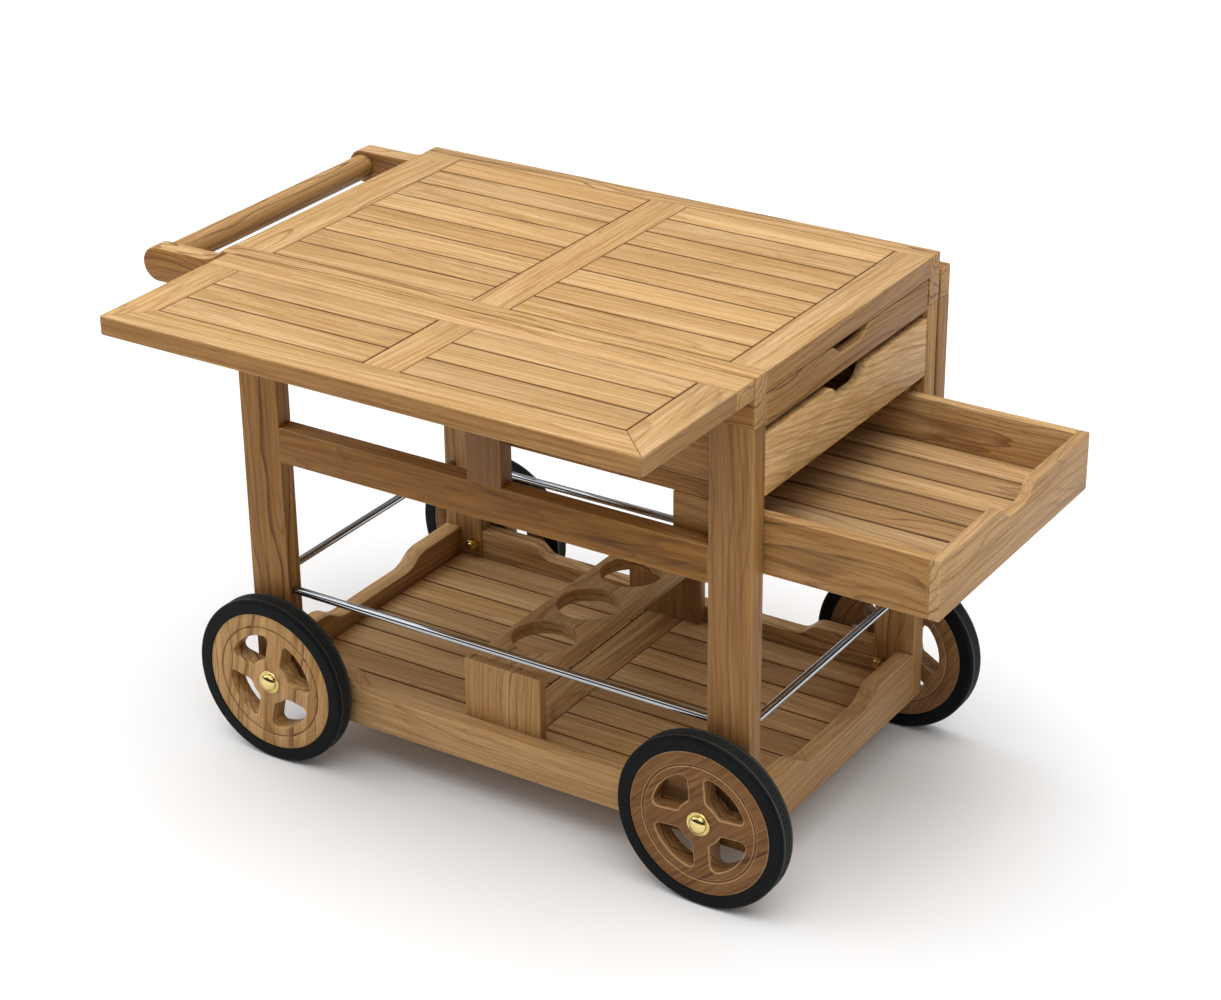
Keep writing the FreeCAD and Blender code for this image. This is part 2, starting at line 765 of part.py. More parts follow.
def make_hinges(seats):
    """Hinges on the rails' outer faces and the leaves' undersides. The pins stay with the rails."""
    offset, thick = cart.hinge_offset, cart.hinge_plate_thick
    clear = cart.knuckle_diameter / 2 + cart.knuckle_gap
    places = [(deck_right - cart.hinge_inset) * place for place in (-1, 0, 1)]
    rail_plate = ((0, thick), (-offset - cart.hinge_plate_width, -offset - clear))
    rail_web = ((0, thick), (-offset - clear, -offset))
    leaf_plate = ((offset + clear, offset + cart.hinge_plate_width), (-thick, 0))
    leaf_web = ((offset, offset + clear), (-thick, 0))
    for side, rail_seat, leaf_seat in seats:
        rail_halves = [hinge_half(x, rail_plate, rail_web, (0, 2)) for x in places]
        leaf_halves = [hinge_half(x, leaf_plate, leaf_web, (1,)) for x in places]
        pins = [
            rod("x", cart.hinge_pin_diameter, cart.hinge_length, x - cart.hinge_length / 2, offset, -offset)
            for x in places
        ]
        subpart(f"{side}_hinge_plates", rail_halves, rail_seat)
        subpart(f"{side}_hinge_pins", pins, rail_seat)
        subpart(f"{side}_leaf_hinges", leaf_halves, leaf_seat)


def make_leaf(side, seat):
    """A drop leaf in its own axes: x, outwards from the side rail (y) and up from its underside (z)."""
    half, width, thick = deck_right, cart.leaf_width, cart.leaf_thick
    inner = cart.leaf_inner_rail
    outer = width - cart.leaf_outer_rail
    panel_end = half - cart.leaf_end_rail
    half_cross = cart.leaf_cross_rail / 2
    panel_y = (inner, outer)
    inner_rail = board((-half, half), (cart.leaf_gap, inner), (0, thick))
    outer_outline = [(-panel_end, outer), (panel_end, outer), (half, width), (-half, width)]
    outer_rail = sawn("XY_Plane", outer_outline, thick, 0, 0, 0)
    right_outline = [(panel_end, inner), (half, inner), (half, width), (panel_end, outer)]
    left_outline = [(-half, inner), (-panel_end, inner), (-panel_end, outer), (-half, width)]
    left_end = cut(
        sawn("XY_Plane", left_outline, thick, 0, 0, 0),
        groove(-panel_end, "left", panel_y, thick, cart.slat_thick),
    )
    right_end = cut(
        sawn("XY_Plane", right_outline, thick, 0, 0, 0),
        groove(panel_end, "right", panel_y, thick, cart.slat_thick),
    )
    cross_rail = cut(
        board((-half_cross, half_cross), panel_y, (0, thick)),
        groove(-half_cross, "right", panel_y, thick, cart.slat_thick),
        groove(half_cross, "left", panel_y, thick, cart.slat_thick),
    )
    row = []
    for sign in (-1, 1):
        panel_x = mirrored_x((half_cross, panel_end), sign)
        row += slats(panel_x, panel_y, thick, cart.slat_thick, cart.leaf_slat_count)
    subpart(f"{side}_leaf_side_rails", [inner_rail, outer_rail], seat)
    subpart(f"{side}_leaf_end_rails", [left_end, right_end], seat)
    subpart(f"{side}_leaf_cross_rail", [cross_rail], seat)
    subpart(f"{side}_leaf_slats", row, seat)


def make_tray(name, bottom, height, floor, scoop_depth, pull):
    """An open box that slides out at the right, with a finger scoop in its front."""
    floor_height, floor_thick, slat_count = floor
    wall = cart.tray_wall
    x = (cart.leg_reach - cart.tray_length + pull, cart.leg_reach + pull)
    y = (cart.rail_thick + cart.tray_side_clear, rear_face - cart.tray_side_clear)
    z = (bottom, bottom + height)
    inside_x = (x[0] + wall, x[1] - wall)
    inside_y = (y[0] + wall, y[1] - wall)
    floor_top = bottom + floor_height
    width = y[1] - y[0]
    shoulder = (width - cart.scoop_width) / 2
    front_outline = wavy_outline(width, height, height - scoop_depth, shoulder, cart.scoop_run)
    front = cut(
        sawn("YZ_Plane", front_outline, wall, inside_x[1], y[0], bottom),
        groove(inside_x[1], "right", inside_y, floor_top, floor_thick),
    )
    back = cut(
        board((x[0], inside_x[0]), inside_y, z),
        groove(inside_x[0], "left", inside_y, floor_top, floor_thick),
    )
    sides = [board((x[0], inside_x[1]), edge, z) for edge in ((y[0], inside_y[0]), (inside_y[1], y[1]))]
    subpart(f"{name}_front", [front], ON_CART)
    subpart(f"{name}_back", [back], ON_CART)
    subpart(f"{name}_sides", sides, ON_CART)
    subpart(f"{name}_floor", slats(inside_x, inside_y, floor_top, floor_thick, slat_count), ON_CART)


def make_runners():
    """Battens along the inner faces of the legs, posts and mid rails, just under each tray."""
    x = (-cart.post_width / 2, cart.leg_reach - cart.runner_setback)
    battens = []
    for bottom, height in (
        (drawer_bottom, cart.drawer_runner_height),
        (mid_tray_bottom, cart.tray_runner_height),
        (lower_tray_bottom, cart.tray_runner_height),
    ):
        top = bottom - cart.runner_clear
        for y in (
            (cart.rail_thick, cart.rail_thick + cart.runner_width),
            (rear_face - cart.runner_width, rear_face),
        ):
            battens.append(board(x, y, (top - height, top)))
    subpart("tray_runners", battens, ON_CART)


make_side_rails()
make_deck()
make_legs()
make_mid_frame()
make_guard_rods()
make_shelf()
make_bottle_rack()
make_runners()
make_wheels()
make_hinges((("front", FRONT_RAISED, FRONT_RAISED), ("rear", REAR_RAISED, REAR_HANGING)))
make_leaf("front", FRONT_RAISED)
make_leaf("rear", REAR_HANGING)
slatted = (cart.tray_floor_height, cart.tray_slat_thick, cart.tray_slat_count)
one_board = (cart.drawer_floor_height, cart.drawer_floor_thick, as_size(1))
make_tray("mid_tray", mid_tray_bottom, cart.tray_height, slatted, cart.scoop_depth, as_size(0))
make_tray(
    "lower_tray",
    lower_tray_bottom,
    cart.tray_height,
    slatted,
    cart.scoop_depth,
    cart.lower_tray_pull,
)
make_tray(
    "drawer",
    drawer_bottom,
    cart.drawer_height,
    one_board,
    cart.drawer_scoop_depth,
    as_size(0),
)

doc.recompute()
for feature in doc.Objects:
    if "Invalid" in feature.State or "Error" in feature.State:
        raise RuntimeError(f"{feature.Name} failed: {feature.State}")
for group in subparts:
    if group.Shape.isNull() or not group.Shape.isValid() or not group.Shape.Solids:
        raise RuntimeError(f"{group.Label} has no valid solid")

os.makedirs("parts", exist_ok=True)
for group in subparts:
    group.Shape.exportStep(f"parts/{group.Label}.step")
print(f"{len(subparts)} sub-parts, {sum(len(group.Shape.Solids) for group in subparts)} solids")
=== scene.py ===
import json
import math
import random

import bmesh
import bpy
from mathutils import Matrix, Vector


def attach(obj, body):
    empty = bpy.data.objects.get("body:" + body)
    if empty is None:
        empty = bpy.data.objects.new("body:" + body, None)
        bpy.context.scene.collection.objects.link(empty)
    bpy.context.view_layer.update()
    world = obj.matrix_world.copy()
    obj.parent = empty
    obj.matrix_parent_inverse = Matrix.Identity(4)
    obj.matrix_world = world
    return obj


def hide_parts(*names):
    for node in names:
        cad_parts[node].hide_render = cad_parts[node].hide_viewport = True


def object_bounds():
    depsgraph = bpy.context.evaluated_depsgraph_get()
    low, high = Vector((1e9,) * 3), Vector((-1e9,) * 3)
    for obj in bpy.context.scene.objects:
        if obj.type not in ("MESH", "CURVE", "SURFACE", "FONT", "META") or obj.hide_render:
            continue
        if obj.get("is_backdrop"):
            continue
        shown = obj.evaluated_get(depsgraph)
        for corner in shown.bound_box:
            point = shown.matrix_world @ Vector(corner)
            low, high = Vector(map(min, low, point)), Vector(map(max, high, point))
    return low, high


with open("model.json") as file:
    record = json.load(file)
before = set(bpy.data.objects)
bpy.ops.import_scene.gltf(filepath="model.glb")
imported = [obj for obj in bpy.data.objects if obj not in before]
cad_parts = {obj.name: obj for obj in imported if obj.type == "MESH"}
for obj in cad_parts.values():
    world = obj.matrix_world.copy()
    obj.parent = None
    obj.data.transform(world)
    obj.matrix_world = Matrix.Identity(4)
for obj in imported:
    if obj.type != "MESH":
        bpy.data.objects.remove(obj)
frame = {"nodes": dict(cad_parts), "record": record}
cad_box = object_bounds()

MM = 0.001
scene = bpy.context.scene


def linear(colour):
    """An sRGB hex colour as linear RGBA."""
    channels = [int(colour[at:at + 2], 16) / 255 for at in (1, 3, 5)]
    return tuple(c / 12.92 if c <= 0.04045 else ((c + 0.055) / 1.055) ** 2.4 for c in channels) + (1.0,)


def new_material(name):
    material = bpy.data.materials.new(name)
    material.use_nodes = True
    return material, material.node_tree.nodes["Principled BSDF"]


def add(material, kind, inputs, **settings):
    """Adds a node with its settings. An input takes a plain value or another node's output."""
    node = material.node_tree.nodes.new(kind)
    for name, value in settings.items():
        setattr(node, name, value)
    for key, value in inputs.items():
        if isinstance(value, bpy.types.NodeSocket):
            material.node_tree.links.new(value, node.inputs[key])
        else:
            node.inputs[key].default_value = value
    return node


def calc(material, operation, *values):
    """The result of a sum."""
    return add(material, "ShaderNodeMath", dict(enumerate(values)), operation=operation).outputs[0]


def vector_calc(material, operation, *values):
    """The result of a sum on vectors."""
    return add(material, "ShaderNodeVectorMath", dict(enumerate(values)), operation=operation).outputs[0]


def blend(material, share, first, second, kind="MIX"):
    """A share of the second colour laid over the first."""
    colours = {0: share, 6: first, 7: second}
    return add(material, "ShaderNodeMix", colours, data_type="RGBA", blend_type=kind).outputs[2]


# Materials

# Patterns in teak, as their length along the grain and across it in millimetres, and their fineness.
# Fibres and vessels are drawn some four times their real width, because they would be too fine to show.
TEAK_PATTERNS = {
    "drift": (900, 30, 2.0),
    "streaks": (520, 5, 4.0),
    "fibres": (110, 1.8, 3.0),
    "vessels": (18, 1.4, 1.0),
    "veins": (800, 15, 3.0),
}
# Where each pattern begins to show, where it is full, and how strong it is there
TEAK_SPREAD = {
    "drift": (0.35, 0.65, 0.6),
    "streaks": (0.35, 0.68, 0.9),
    "fibres": (0.44, 0.74, 0.35),
    "vessels": (0.62, 0.72, 0.35),
    "veins": (0.61, 0.73, 0.85),
}
# Width of a year's growth, how far along the radius that width changes, and how far the rings sway, in
# millimetres
TEAK_RING = 9.0
TEAK_RING_CHANGE = 25.0
TEAK_SWAY = 14.0
# How often the sway changes per metre, along the grain and across it. Noise stays within about a quarter
# of its middle, so the sway is that many times as large
SWAY_CHANGES = (4.0, 10.0, 10.0)
SWAY_GAIN = 4
# How many years a ring wanders, how strong the faintest ring is, where in a year's growth the dark late wood
# begins and where it is full, and how much of a vein shows only there
RING_WANDER = 2.0
FAINT_RING = 0.15
LATE_WOOD = (0.66, 0.94)
VEIN_IN_RING = 0.6
# Roughness of oiled wood, how far a ring stands above the fibres, and the depth of the relief in millimetres
TEAK_ROUGHNESS = (0.42, 0.68)
RING_RELIEF = 0.3
TEAK_RELIEF = 0.25


def growth_rings(teak, grain, drift):
    """Rings round the heart of the log, swaying along its length.

    Each ring has its own width and strength, and darkens towards its end.
    """
    slow = vector_calc(teak, "MULTIPLY", grain, SWAY_CHANGES)
    sway = add(teak, "ShaderNodeTexNoise", {"Vector": slow, "Scale": 1.0, "Detail": 1.0}).outputs["Color"]
    sway = vector_calc(teak, "SUBTRACT", sway, (0.5, 0.5, 0.5))
    reach = SWAY_GAIN * TEAK_SWAY * MM
    sway = vector_calc(teak, "MULTIPLY", sway, (0.0, reach, reach))
    across = vector_calc(teak, "MULTIPLY", grain, (0.0, 1.0, 1.0))
    from_heart = vector_calc(teak, "ADD", across, sway)
    radius = add(teak, "ShaderNodeVectorMath", {0: from_heart}, operation="LENGTH").outputs["Value"]
    place = calc(teak, "MULTIPLY", radius, 1 / (TEAK_RING_CHANGE * MM))
    change = {"W": place, "Scale": 1.0, "Detail": 1.0}
    change = add(teak, "ShaderNodeTexNoise", change, noise_dimensions="1D").outputs[0]
    years = calc(teak, "MULTIPLY", radius, 1 / (TEAK_RING * MM))
    for wander in (change, drift):
        years = calc(teak, "MULTIPLY_ADD", wander, RING_WANDER, years)
    year = calc(teak, "FLOOR", years)
    chance = add(teak, "ShaderNodeTexWhiteNoise", {"W": year}, noise_dimensions="1D").outputs["Value"]
    growth = add(teak, "ShaderNodeMapRange", {"Value": chance, "To Min": FAINT_RING}).outputs[0]
    season = calc(teak, "FRACT", years)
    late = {"Value": season, "From Min": LATE_WOOD[0], "From Max": LATE_WOOD[1]}
    late = add(teak, "ShaderNodeMapRange", late, interpolation_type="SMOOTHSTEP").outputs[0]
    new_year = {"Value": season, "From Min": LATE_WOOD[1], "From Max": 1.0, "To Min": 1.0, "To Max": 0.0}
    new_year = add(teak, "ShaderNodeMapRange", new_year, interpolation_type="SMOOTHSTEP").outputs[0]
    ring = calc(teak, "MULTIPLY", late, new_year)
    return calc(teak, "MULTIPLY", ring, growth)


def make_teak():
    """Teak, planed, sanded and oiled: honey brown, with growth rings, long streaks and short dark vessels.

    It reads each board's own coordinates, so that rings, streaks and cut ends belong to that board. The oil
    gives a soft sheen. Gaps and grooves get painted shade, and eased edges are worn paler, with a painted
    highlight.
    """
    teak, surface = new_material("oiled_teak")
    grain = add(teak, "ShaderNodeAttribute", {}, attribute_name="grain").outputs["Vector"]
    board = add(teak, "ShaderNodeAttribute", {}, attribute_name="board").outputs["Vector"]
    vein_strength, greyness, ring_strength = add(teak, "ShaderNodeSeparateXYZ", {0: board}).outputs
    depth = add(teak, "ShaderNodeAttribute", {}, attribute_name="depth").outputs["Fac"]
    heart = add(teak, "ShaderNodeAttribute", {}, attribute_name="heart").outputs["Fac"]
    cut = add(teak, "ShaderNodeAttribute", {}, attribute_name="cut").outputs["Vector"]
    end_grain, rubbed_and_highlit, painted_gap_shade = add(teak, "ShaderNodeSeparateXYZ", {0: cut}).outputs

    pattern, share = {}, {}
    for name, (along, across, detail) in TEAK_PATTERNS.items():
        per_metre = (1 / (along * MM), 1 / (across * MM), 1 / (across * MM))
        place = vector_calc(teak, "MULTIPLY", grain, per_metre)
        noise = add(teak, "ShaderNodeTexNoise", {"Vector": place, "Scale": 1.0, "Detail": detail})
        pattern[name] = noise.outputs[0]
        low, high, most = TEAK_SPREAD[name]
        limits = {"Value": pattern[name], "From Min": low, "From Max": high, "To Max": most}
        share[name] = add(teak, "ShaderNodeMapRange", limits, interpolation_type="SMOOTHSTEP").outputs[0]

    # Cut ends show the rings best, and veins show most in a ring's late wood
    ring = growth_rings(teak, grain, pattern["drift"])
    shown = calc(teak, "ADD", ring_strength, end_grain)
    ring_share = calc(teak, "MULTIPLY", ring, shown)
    vein_share = calc(teak, "MULTIPLY_ADD", ring, VEIN_IN_RING, 1 - VEIN_IN_RING)
    for part in (share["veins"], vein_strength):
        vein_share = calc(teak, "MULTIPLY", vein_share, part)

    # Colour, from pale early wood to dark veins, then the board's own depth with painted top light, painted
    # shade in gaps and grooves, and eased edges worn paler with a painted highlight
    colour = linear("#DDB886")
    for amount, shade, kind in (
        (share["drift"], "#C89F68", "MIX"),
        (share["streaks"], "#B68C54", "MIX"),
        (end_grain, "#C2A06E", "MIX"),
        (ring_share, "#784E28", "MIX"),
        (share["fibres"], "#9C7040", "MIX"),
        (share["vessels"], "#6C482A", "MIX"),
        (vein_share, "#4C321C", "MIX"),
        # depth is the board's tone with painted top light: faces that look up are painted paler, in place of
        # light from above
        (depth, "#A88A46", "MULTIPLY"),
        (heart, "#906E60", "MULTIPLY"),
        (greyness, "#94806A", "MIX"),
        # Painted shade in the gaps between slats and in the wheels' ring grooves
        (painted_gap_shade, "#74481F", "MULTIPLY"),
        # Eased edges, worn paler and painted with a highlight
        (rubbed_and_highlit, "#D2AC78", "MIX"),
    ):
        colour = blend(teak, amount, colour, linear(shade), kind)
    link = teak.node_tree.links.new
    link(colour, surface.inputs["Base Color"])

    sheen = {"Value": pattern["fibres"], "To Min": TEAK_ROUGHNESS[0], "To Max": TEAK_ROUGHNESS[1]}
    link(add(teak, "ShaderNodeMapRange", sheen).outputs[0], surface.inputs["Roughness"])
    height = calc(teak, "MULTIPLY_ADD", ring, RING_RELIEF, pattern["fibres"])
    height = calc(teak, "SUBTRACT", height, share["vessels"])
    relief = {"Height": height, "Strength": 0.35, "Distance": TEAK_RELIEF * MM}
    link(add(teak, "ShaderNodeBump", relief).outputs[0], surface.inputs["Normal"])
    surface.inputs["IOR"].default_value = 1.48
    surface.inputs["Specular IOR Level"].default_value = 0.25
    return teak


# Grain of the mould's grit and of the dust in millimetres, how dusty the tread's ribs are, which leaves the
# clean grooves darker as painted shade, the rubber's roughness, and the depth of the relief in millimetres
RUBBER_GRIT = 1.5
RUBBER_DUST = 40
RIB_DUST_AND_GROOVE_SHADE = 0.8
RUBBER_ROUGHNESS = (0.45, 0.65)
RUBBER_RELIEF = 0.2


def make_rubber():
    """Moulded black rubber: deep black and nearly matt, with the mould's fine grit, dust on the tread's ribs,
    and clean grooves left darker as painted shade.
    """
    rubber, surface = new_material("moulded_rubber")
    place = add(rubber, "ShaderNodeTexCoord", {}).outputs["Object"]
    grit = {"Vector": place, "Scale": 1 / (RUBBER_GRIT * MM), "Detail": 3.0}
    grit = add(rubber, "ShaderNodeTexNoise", grit).outputs[0]
    dust = {"Vector": place, "Scale": 1 / (RUBBER_DUST * MM), "Detail": 5.0}
    dust = add(rubber, "ShaderNodeTexNoise", dust).outputs[0]
    colour = blend(rubber, dust, linear("#060708"), linear("#101214"))
    tread = add(rubber, "ShaderNodeAttribute", {}, attribute_name="tread").outputs["Fac"]
    # Dust on the ribs, with the clean grooves left darker as painted shade
    tread = calc(rubber, "MULTIPLY", tread, RIB_DUST_AND_GROOVE_SHADE)
    link = rubber.node_tree.links.new
    link(blend(rubber, tread, colour, linear("#3C3D3B")), surface.inputs["Base Color"])
    sheen = {"Value": dust, "To Min": RUBBER_ROUGHNESS[0], "To Max": RUBBER_ROUGHNESS[1]}
    link(add(rubber, "ShaderNodeMapRange", sheen).outputs[0], surface.inputs["Roughness"])
    relief = {"Height": grit, "Strength": 0.25, "Distance": RUBBER_RELIEF * MM}
    link(add(rubber, "ShaderNodeBump", relief).outputs[0], surface.inputs["Normal"])
    surface.inputs["IOR"].default_value = 1.52
    surface.inputs["Specular IOR Level"].default_value = 0.1
    return rubber


def make_metal(name, colours, roughness, smear_mm):
    """A bare metal, with faint handling marks that change its colour and its gloss."""
    metal, surface = new_material(name)
    place = add(metal, "ShaderNodeTexCoord", {}).outputs["Object"]
    smear = {"Vector": place, "Scale": 1 / (smear_mm * MM), "Detail": 4.0}
    smear = add(metal, "ShaderNodeTexNoise", smear).outputs[0]
    link = metal.node_tree.links.new
    link(blend(metal, smear, linear(colours[0]), linear(colours[1])), surface.inputs["Base Color"])
    gloss = {"Value": smear, "To Min": roughness[0], "To Max": roughness[1]}
    link(add(metal, "ShaderNodeMapRange", gloss).outputs[0], surface.inputs["Roughness"])
    surface.inputs["Metallic"].default_value = 1.0
    return metal


TEAK = make_teak()
RUBBER = make_rubber()
# Polished brass is a warm, almost perfect mirror. Polished stainless steel is cooler and sharper. Zinc plate
# is dull and grey, and hardly catches the eye behind the wheels.
BRASS = make_metal("polished_brass", ("#EAD694", "#D9C27A"), (0.10, 0.22), 9.0)
STEEL = make_metal("polished_stainless_steel", ("#BDC0C4", "#A4A8AD"), (0.02, 0.06), 14.0)
ZINC = make_metal("zinc_plated_steel", ("#74777A", "#5C5F63"), (0.45, 0.6), 8.0)


# How a wooden node looks, by the start of its name. depth is how deep its colour is, from 0 for pale to 1
# for dark, vary is how far its boards differ, and the top-light look is how much paler the faces that look up
# in use are painted: painted light from above, which leaves their sides deeper as painted shade. heart is how
# much it is of the dark heart of the log, and grey is how weathered it may be.
# rings and veins are how clearly those show, and lean is how many millimetres the grain crosses the board
# for each millimetre along it. The rubbed look is how pale the eased edges are: worn paler, with a painted
# highlight. edge is their radius in millimetres. slats get painted shade where they face a gap.
PLAIN_BOARD = {
    "depth": 0.8,
    "vary": 0.12,
    "painted_top_light": 0.5,
    "heart": 0.0,
    "grey": 0.15,
    "rings": 0.85,
    "veins": 0.9,
    "lean": 0.03,
    "rubbed_and_highlit": 0.15,
    "edge": 1.6,
    "slats": False,
}
PALE_SLATS = {"painted_top_light": 0.0, "rings": 0.3, "veins": 0.2, "edge": 1.5, "slats": True}
LEAF_SLATS = PALE_SLATS | {"depth": 0.04, "vary": 0.08}
LEAF = {"depth": 0.8, "vary": 0.05, "painted_top_light": 0.94, "rings": 0.45, "veins": 0.4, "edge": 2.2}
WHEEL = {"depth": 0.65, "heart": 0.6, "rubbed_and_highlit": 0.3, "edge": 2.0}
LOOKS = {
    "deck_slats": PALE_SLATS | {"depth": 0.1, "vary": 0.1},
    "deck_end_rails": {"depth": 0.75, "vary": 0.04, "painted_top_light": 0.87, "veins": 0.5},
    "deck": {"depth": 0.95, "vary": 0.04, "painted_top_light": 0.9, "rings": 0.45, "veins": 0.3},
    "front_leaf_slats": LEAF_SLATS,
    "front_leaf": LEAF,
    "rear_leaf_slats": LEAF_SLATS,
    "rear_leaf": LEAF,
    # The front side rail, the front right leg, the mid posts and the mid rails stand under the front leaf:
    # their deeper colour is partly their own tone and partly painted shade from the leaf
    "front_side_rail": {"depth": 0.9, "vary": 0.0, "painted_top_light": 0.88},
    "rear_side_rail": {"depth": 0.9, "vary": 0.0, "painted_top_light": 0.82},
    "handle_bar": {"depth": 0.85, "heart": 0.1, "grey": 0.0},
    "front_right_leg": {"depth": 0.88, "vary": 0.0},
    "mid_posts": {"depth": 1.0, "vary": 0.0, "heart": 0.35, "rings": 0.5},
    "mid_rails": {"depth": 0.88},
    "rear_left_leg": {"depth": 0.5},
    "rear_right_leg": {"depth": 0.5},
    "drawer_front": {"depth": 0.8},
    "shelf_slats": PALE_SLATS | {"depth": 0.06, "vary": 0.25, "grey": 0.2, "rings": 0.4, "veins": 0.35},
    "shelf_end_boards": {"depth": 0.75, "painted_top_light": 0.8},
    "shelf": {"depth": 0.55},
    "rack_ends": {"depth": 0.58},
    "bottle_board": {"depth": 0.5},
    "lower_tray_floor": PALE_SLATS
    | {"depth": 0.16, "vary": 0.3, "grey": 0.4, "rings": 0.9, "veins": 1.0, "edge": 2.6},
    "mid_tray_floor": PALE_SLATS | {"depth": 0.4},
    "drawer_floor": PALE_SLATS | {"depth": 0.4},
    "mid_tray_front": {"depth": 0.03, "vary": 0.0, "rings": 1.0, "veins": 1.0, "lean": 0.2},
    "lower_tray_front": {"depth": 0.62, "rings": 1.0, "veins": 1.0},
    "lower_tray_sides": {"depth": 0.47, "vary": -0.2, "rings": 1.0, "veins": 1.0},
    "front_left_wheel": WHEEL | {"depth": 0.42, "heart": 0.0, "grey": 0.0, "rubbed_and_highlit": 0.1},
    "front_right_wheel": WHEEL | {"grey": 0.0, "rubbed_and_highlit": 0.4},
    "rear_left_wheel": WHEEL,
    "rear_right_wheel": WHEEL,
}
# The grain runs along a board's longest side, but upright in the rack's ends, and at its own slant, in
# degrees from level, in each wheel
UPRIGHT = ("rack_ends",)
WHEEL_SLANT = {
    "front_left_wheel_disc": 84,
    "front_right_wheel_disc": 40,
    "rear_left_wheel_disc": 15,
    "rear_right_wheel_disc": 62,
}
# How near vertices are welded, in millimetres, and angles between faces in degrees: less is flat, more is
# sharp, and outer edges over the last are eased
WELD = 0.01
FLAT = 0.6
SHARP = 30
EASED = 50
# The middle of a wheel's ring groove, how far its edges lie from there, and their radius, in millimetres
GROOVE_RADIUS = 89.0
GROOVE_REACH = 4.0
GROOVE_EDGE = 1.2
# How far below a tyre's radius its ribs still count as worn, in millimetres
RIB_TOP = 0.5
# How strong the painted shade is in a groove, less in dark heart wood, and in a gap. PALE_END is how far a
# cut end goes to its own colour, and SHALLOW_END how far it loses the board's depth, all from 0 to 1
PAINTED_GROOVE_SHADE = 0.45
PAINTED_GAP_SHADE = 0.8
PALE_END = 0.55
SHALLOW_END = 0.5
# Where boards come from the log: metres along it, and millimetres from its heart. Then how far a board's
# depth and its rings go from what its look says
ALONG_LOG = 40
FROM_HEART = (25, 110)
DEPTH_SPREAD = 1.5
RING_SPREAD = (0.5, 1.3)
# How nearly a face looks along the grain to be a cut end
FACES_END = 0.8


def islands(shape):
    """The vertices of each separate solid in a mesh."""
    left = set(shape.verts)
    for start in list(shape.verts):
        if start not in left:
            continue
        left.remove(start)
        found, front = [], [start]
        while front:
            vert = front.pop()
            found.append(vert)
            for edge in vert.link_edges:
                other = edge.other_vert(vert)
                if other in left:
                    left.remove(other)
                    front.append(other)
        yield found


def corners(verts):
    """The lowest and the highest corner of a box round some vertices."""
    low = Vector(min(v.co[i] for v in verts) for i in range(3))
    high = Vector(max(v.co[i] for v in verts) for i in range(3))
    return low, high


def welded_shape(node):
    """A copy of a node's mesh, welded."""
    shape = bmesh.new()
    shape.from_mesh(frame["nodes"][node].data)
    bmesh.ops.remove_doubles(shape, verts=shape.verts, dist=WELD * MM)
    return shape


def node_shape(node):
    """A copy of a node's mesh, welded, with its flat faces whole."""
    shape = welded_shape(node)
    bmesh.ops.dissolve_limit(shape, angle_limit=math.radians(FLAT), verts=shape.verts, edges=shape.edges)
    return shape


def finish_piece(name, shape, material, body, slot, *nodes):
    """Makes a piece of the cart from its mesh: shaded, riding on its body and standing for its nodes."""
    mesh = bpy.data.meshes.new(name)
    shape.to_mesh(mesh)
    shape.free()
    mesh.materials.append(material)
    mesh.shade_smooth()
    mesh.set_sharp_from_angle(angle=math.radians(SHARP))
    piece = bpy.data.objects.new(name, mesh)
    scene.collection.objects.link(piece)
    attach(piece, body)
    if nodes:
        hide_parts(*nodes)


def outer_edges(shape):
    sharp = math.radians(EASED)
    return [e for e in shape.edges if e.is_manifold and e.is_convex and e.calc_face_angle() > sharp]


def ease_edges(shape, edges, radius):
    """Rounds edges of a mesh and returns the faces that this makes."""
    made = bmesh.ops.bevel(
        shape,
        geom=edges,
        offset=radius * MM,
        offset_type="OFFSET",
        segments=2,
        profile=0.5,
        affect="EDGES",
        clamp_overlap=False,
    )
    return set(made["faces"])


def ease_wheel(shape, radius):
    """Rounds a wheel's edges, those of its ring grooves less, and returns the rounded and the sunk faces."""
    low, high = corners(shape.verts)
    hub = (low + high) / 2

    def by_groove(piece):
        from_hub = [math.hypot(v.co.x - hub.x, v.co.z - hub.z) / MM for v in piece.verts]
        return all(abs(distance - GROOVE_RADIUS) < GROOVE_REACH for distance in from_hub)

    eased = ease_edges(shape, [e for e in outer_edges(shape) if by_groove(e)], GROOVE_EDGE)
    eased |= ease_edges(shape, [e for e in outer_edges(shape) if not by_groove(e)], radius)
    return eased, {face for face in shape.faces if by_groove(face)} - eased


def grain_axes(node, size):
    """The directions along the grain and across it, for a board of this size."""
    if node in WHEEL_SLANT:
        turn = Matrix.Rotation(-math.radians(WHEEL_SLANT[node]), 3, "Y")
        return [turn @ Vector((1, 0, 0)), Vector((0, 1, 0)), turn @ Vector((0, 0, 1))]
    long_side = 2 if node in UPRIGHT else max(range(3), key=lambda i: size[i])
    return [Vector((i == (long_side + k) % 3 for i in range(3))) for k in range(3)]


